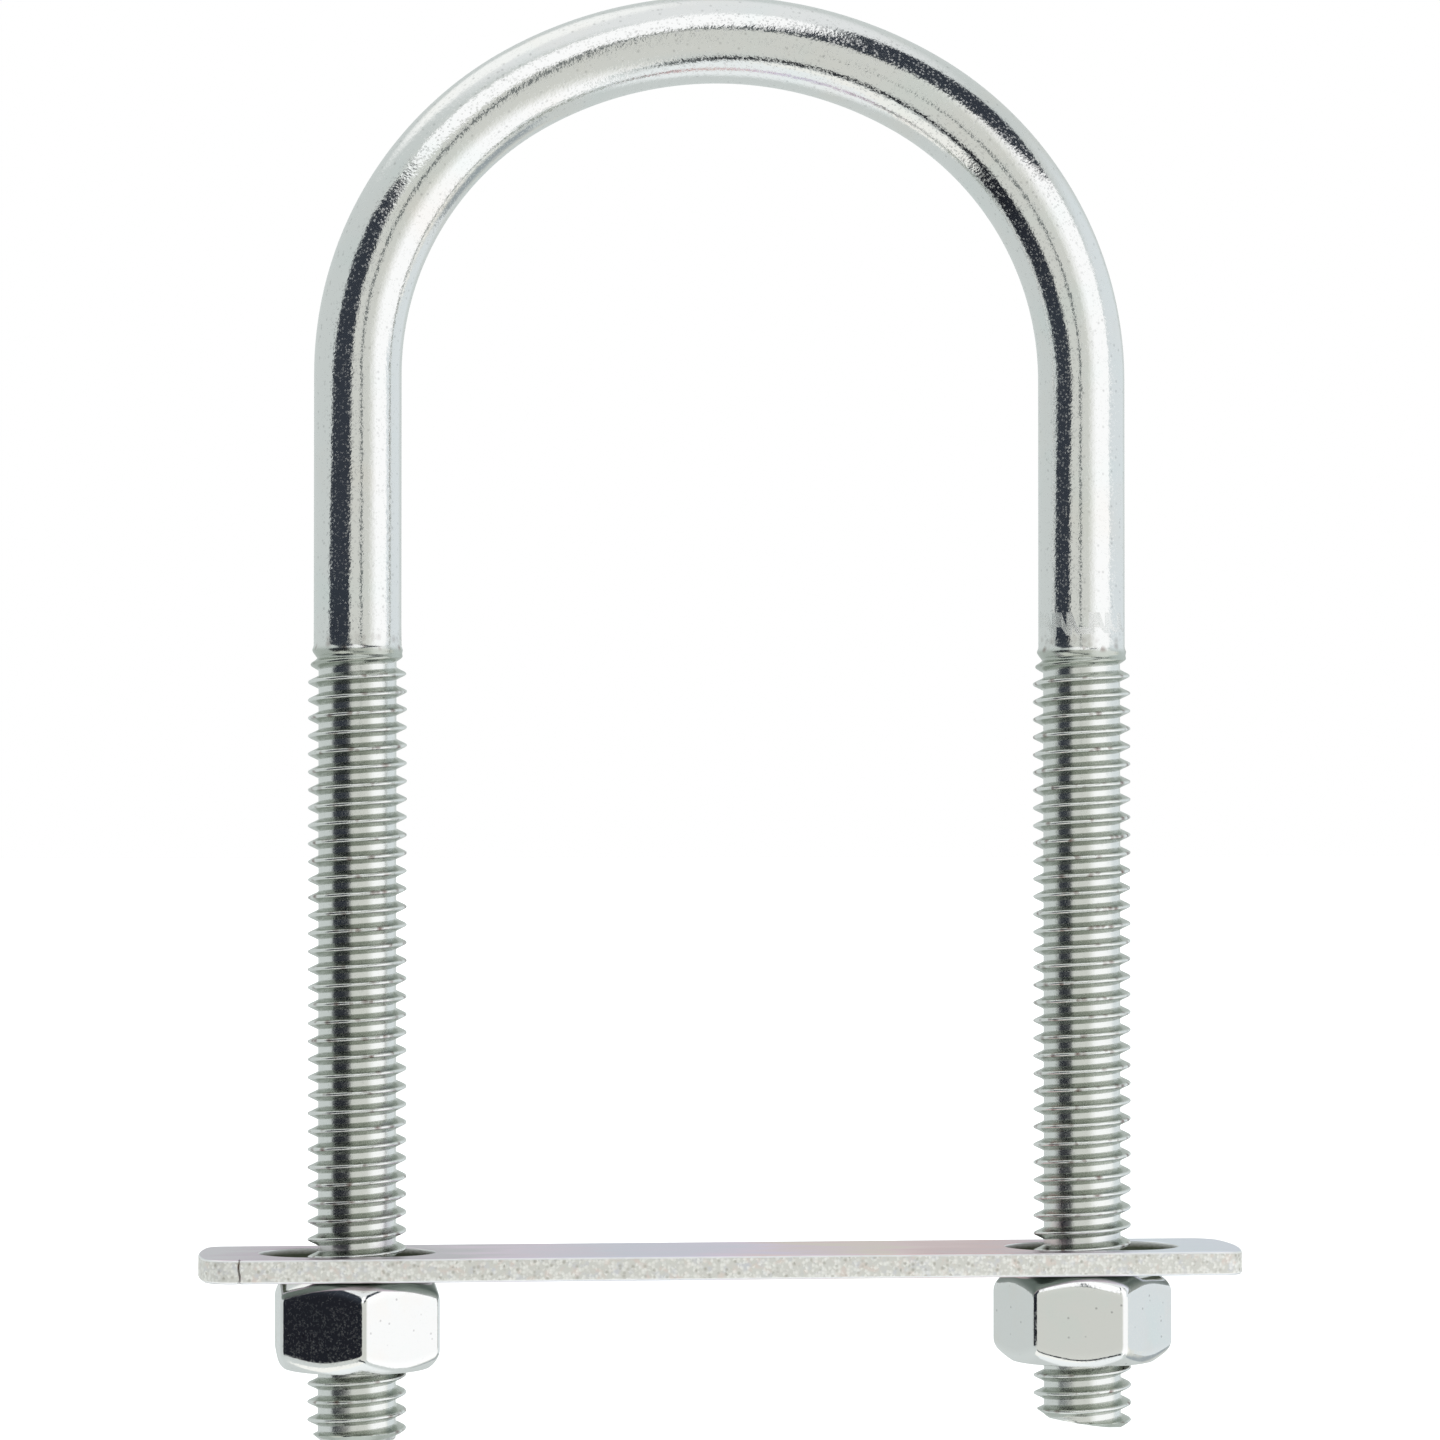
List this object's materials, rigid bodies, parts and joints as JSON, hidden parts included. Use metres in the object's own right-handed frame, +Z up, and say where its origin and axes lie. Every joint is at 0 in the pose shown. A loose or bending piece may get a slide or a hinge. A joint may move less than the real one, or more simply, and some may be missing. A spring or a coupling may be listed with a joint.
{
  "type": "u-bolt pad eye",
  "caption": "U-shaped threaded rod with a slotted strap plate and hex nuts, used as a fixed eye or to clamp a pipe.",
  "frame": {"origin": "on the ground midway between the two leg ends, under the middle of the bend", "axes": "+Z up the legs towards the bend, X along the strap plate through both legs, Y through the thin side of the U"},
  "size_m": [0.0826, 0.0144, 0.1143],
  "materials": {
    "rod_zinc": "bright zinc plating with a clear chromate, mirror-like with fine orange peel; greyer and finer on the rolled threads",
    "plate_zinc": "zinc plating over sheared strip, satin with a faint pink and blue chromate tint, granular along its cut edges",
    "nut_zinc": "bright zinc plating with a clear blue chromate, polished flats and softly rounded corners"
  },
  "bodies": {
    "u_bolt": {"u_bolt": "rod_zinc"},
    "strap_plate": {"strap_plate": "plate_zinc"},
    "left_nut": {"left_nut": "nut_zinc"},
    "right_nut": {"right_nut": "nut_zinc"}
  },
  "joints": [
    {"name": "plate_travel", "type": "slide", "parent": "u_bolt", "child": "strap_plate", "axis": [0, 0, 1], "range_m": [-0.00565, 0.0467]},
    {"name": "left_nut_turn", "type": "hinge", "parent": "strap_plate", "child": "left_nut", "pos_m": [-0.02884, 0, 0.00925], "axis": [0, 0, 1], "range_deg": [-1440, 11880]},
    {"name": "right_nut_turn", "type": "hinge", "parent": "strap_plate", "child": "right_nut", "pos_m": [0.02884, 0, 0.00925], "axis": [0, 0, 1], "range_deg": [-1440, 11880]}
  ],
  "couplings": [
    {"joint": "plate_travel", "follows": "left_nut_turn", "m_per_rad": 0.00022459},
    {"joint": "right_nut_turn", "follows": "left_nut_turn", "ratio": 1}
  ]
}
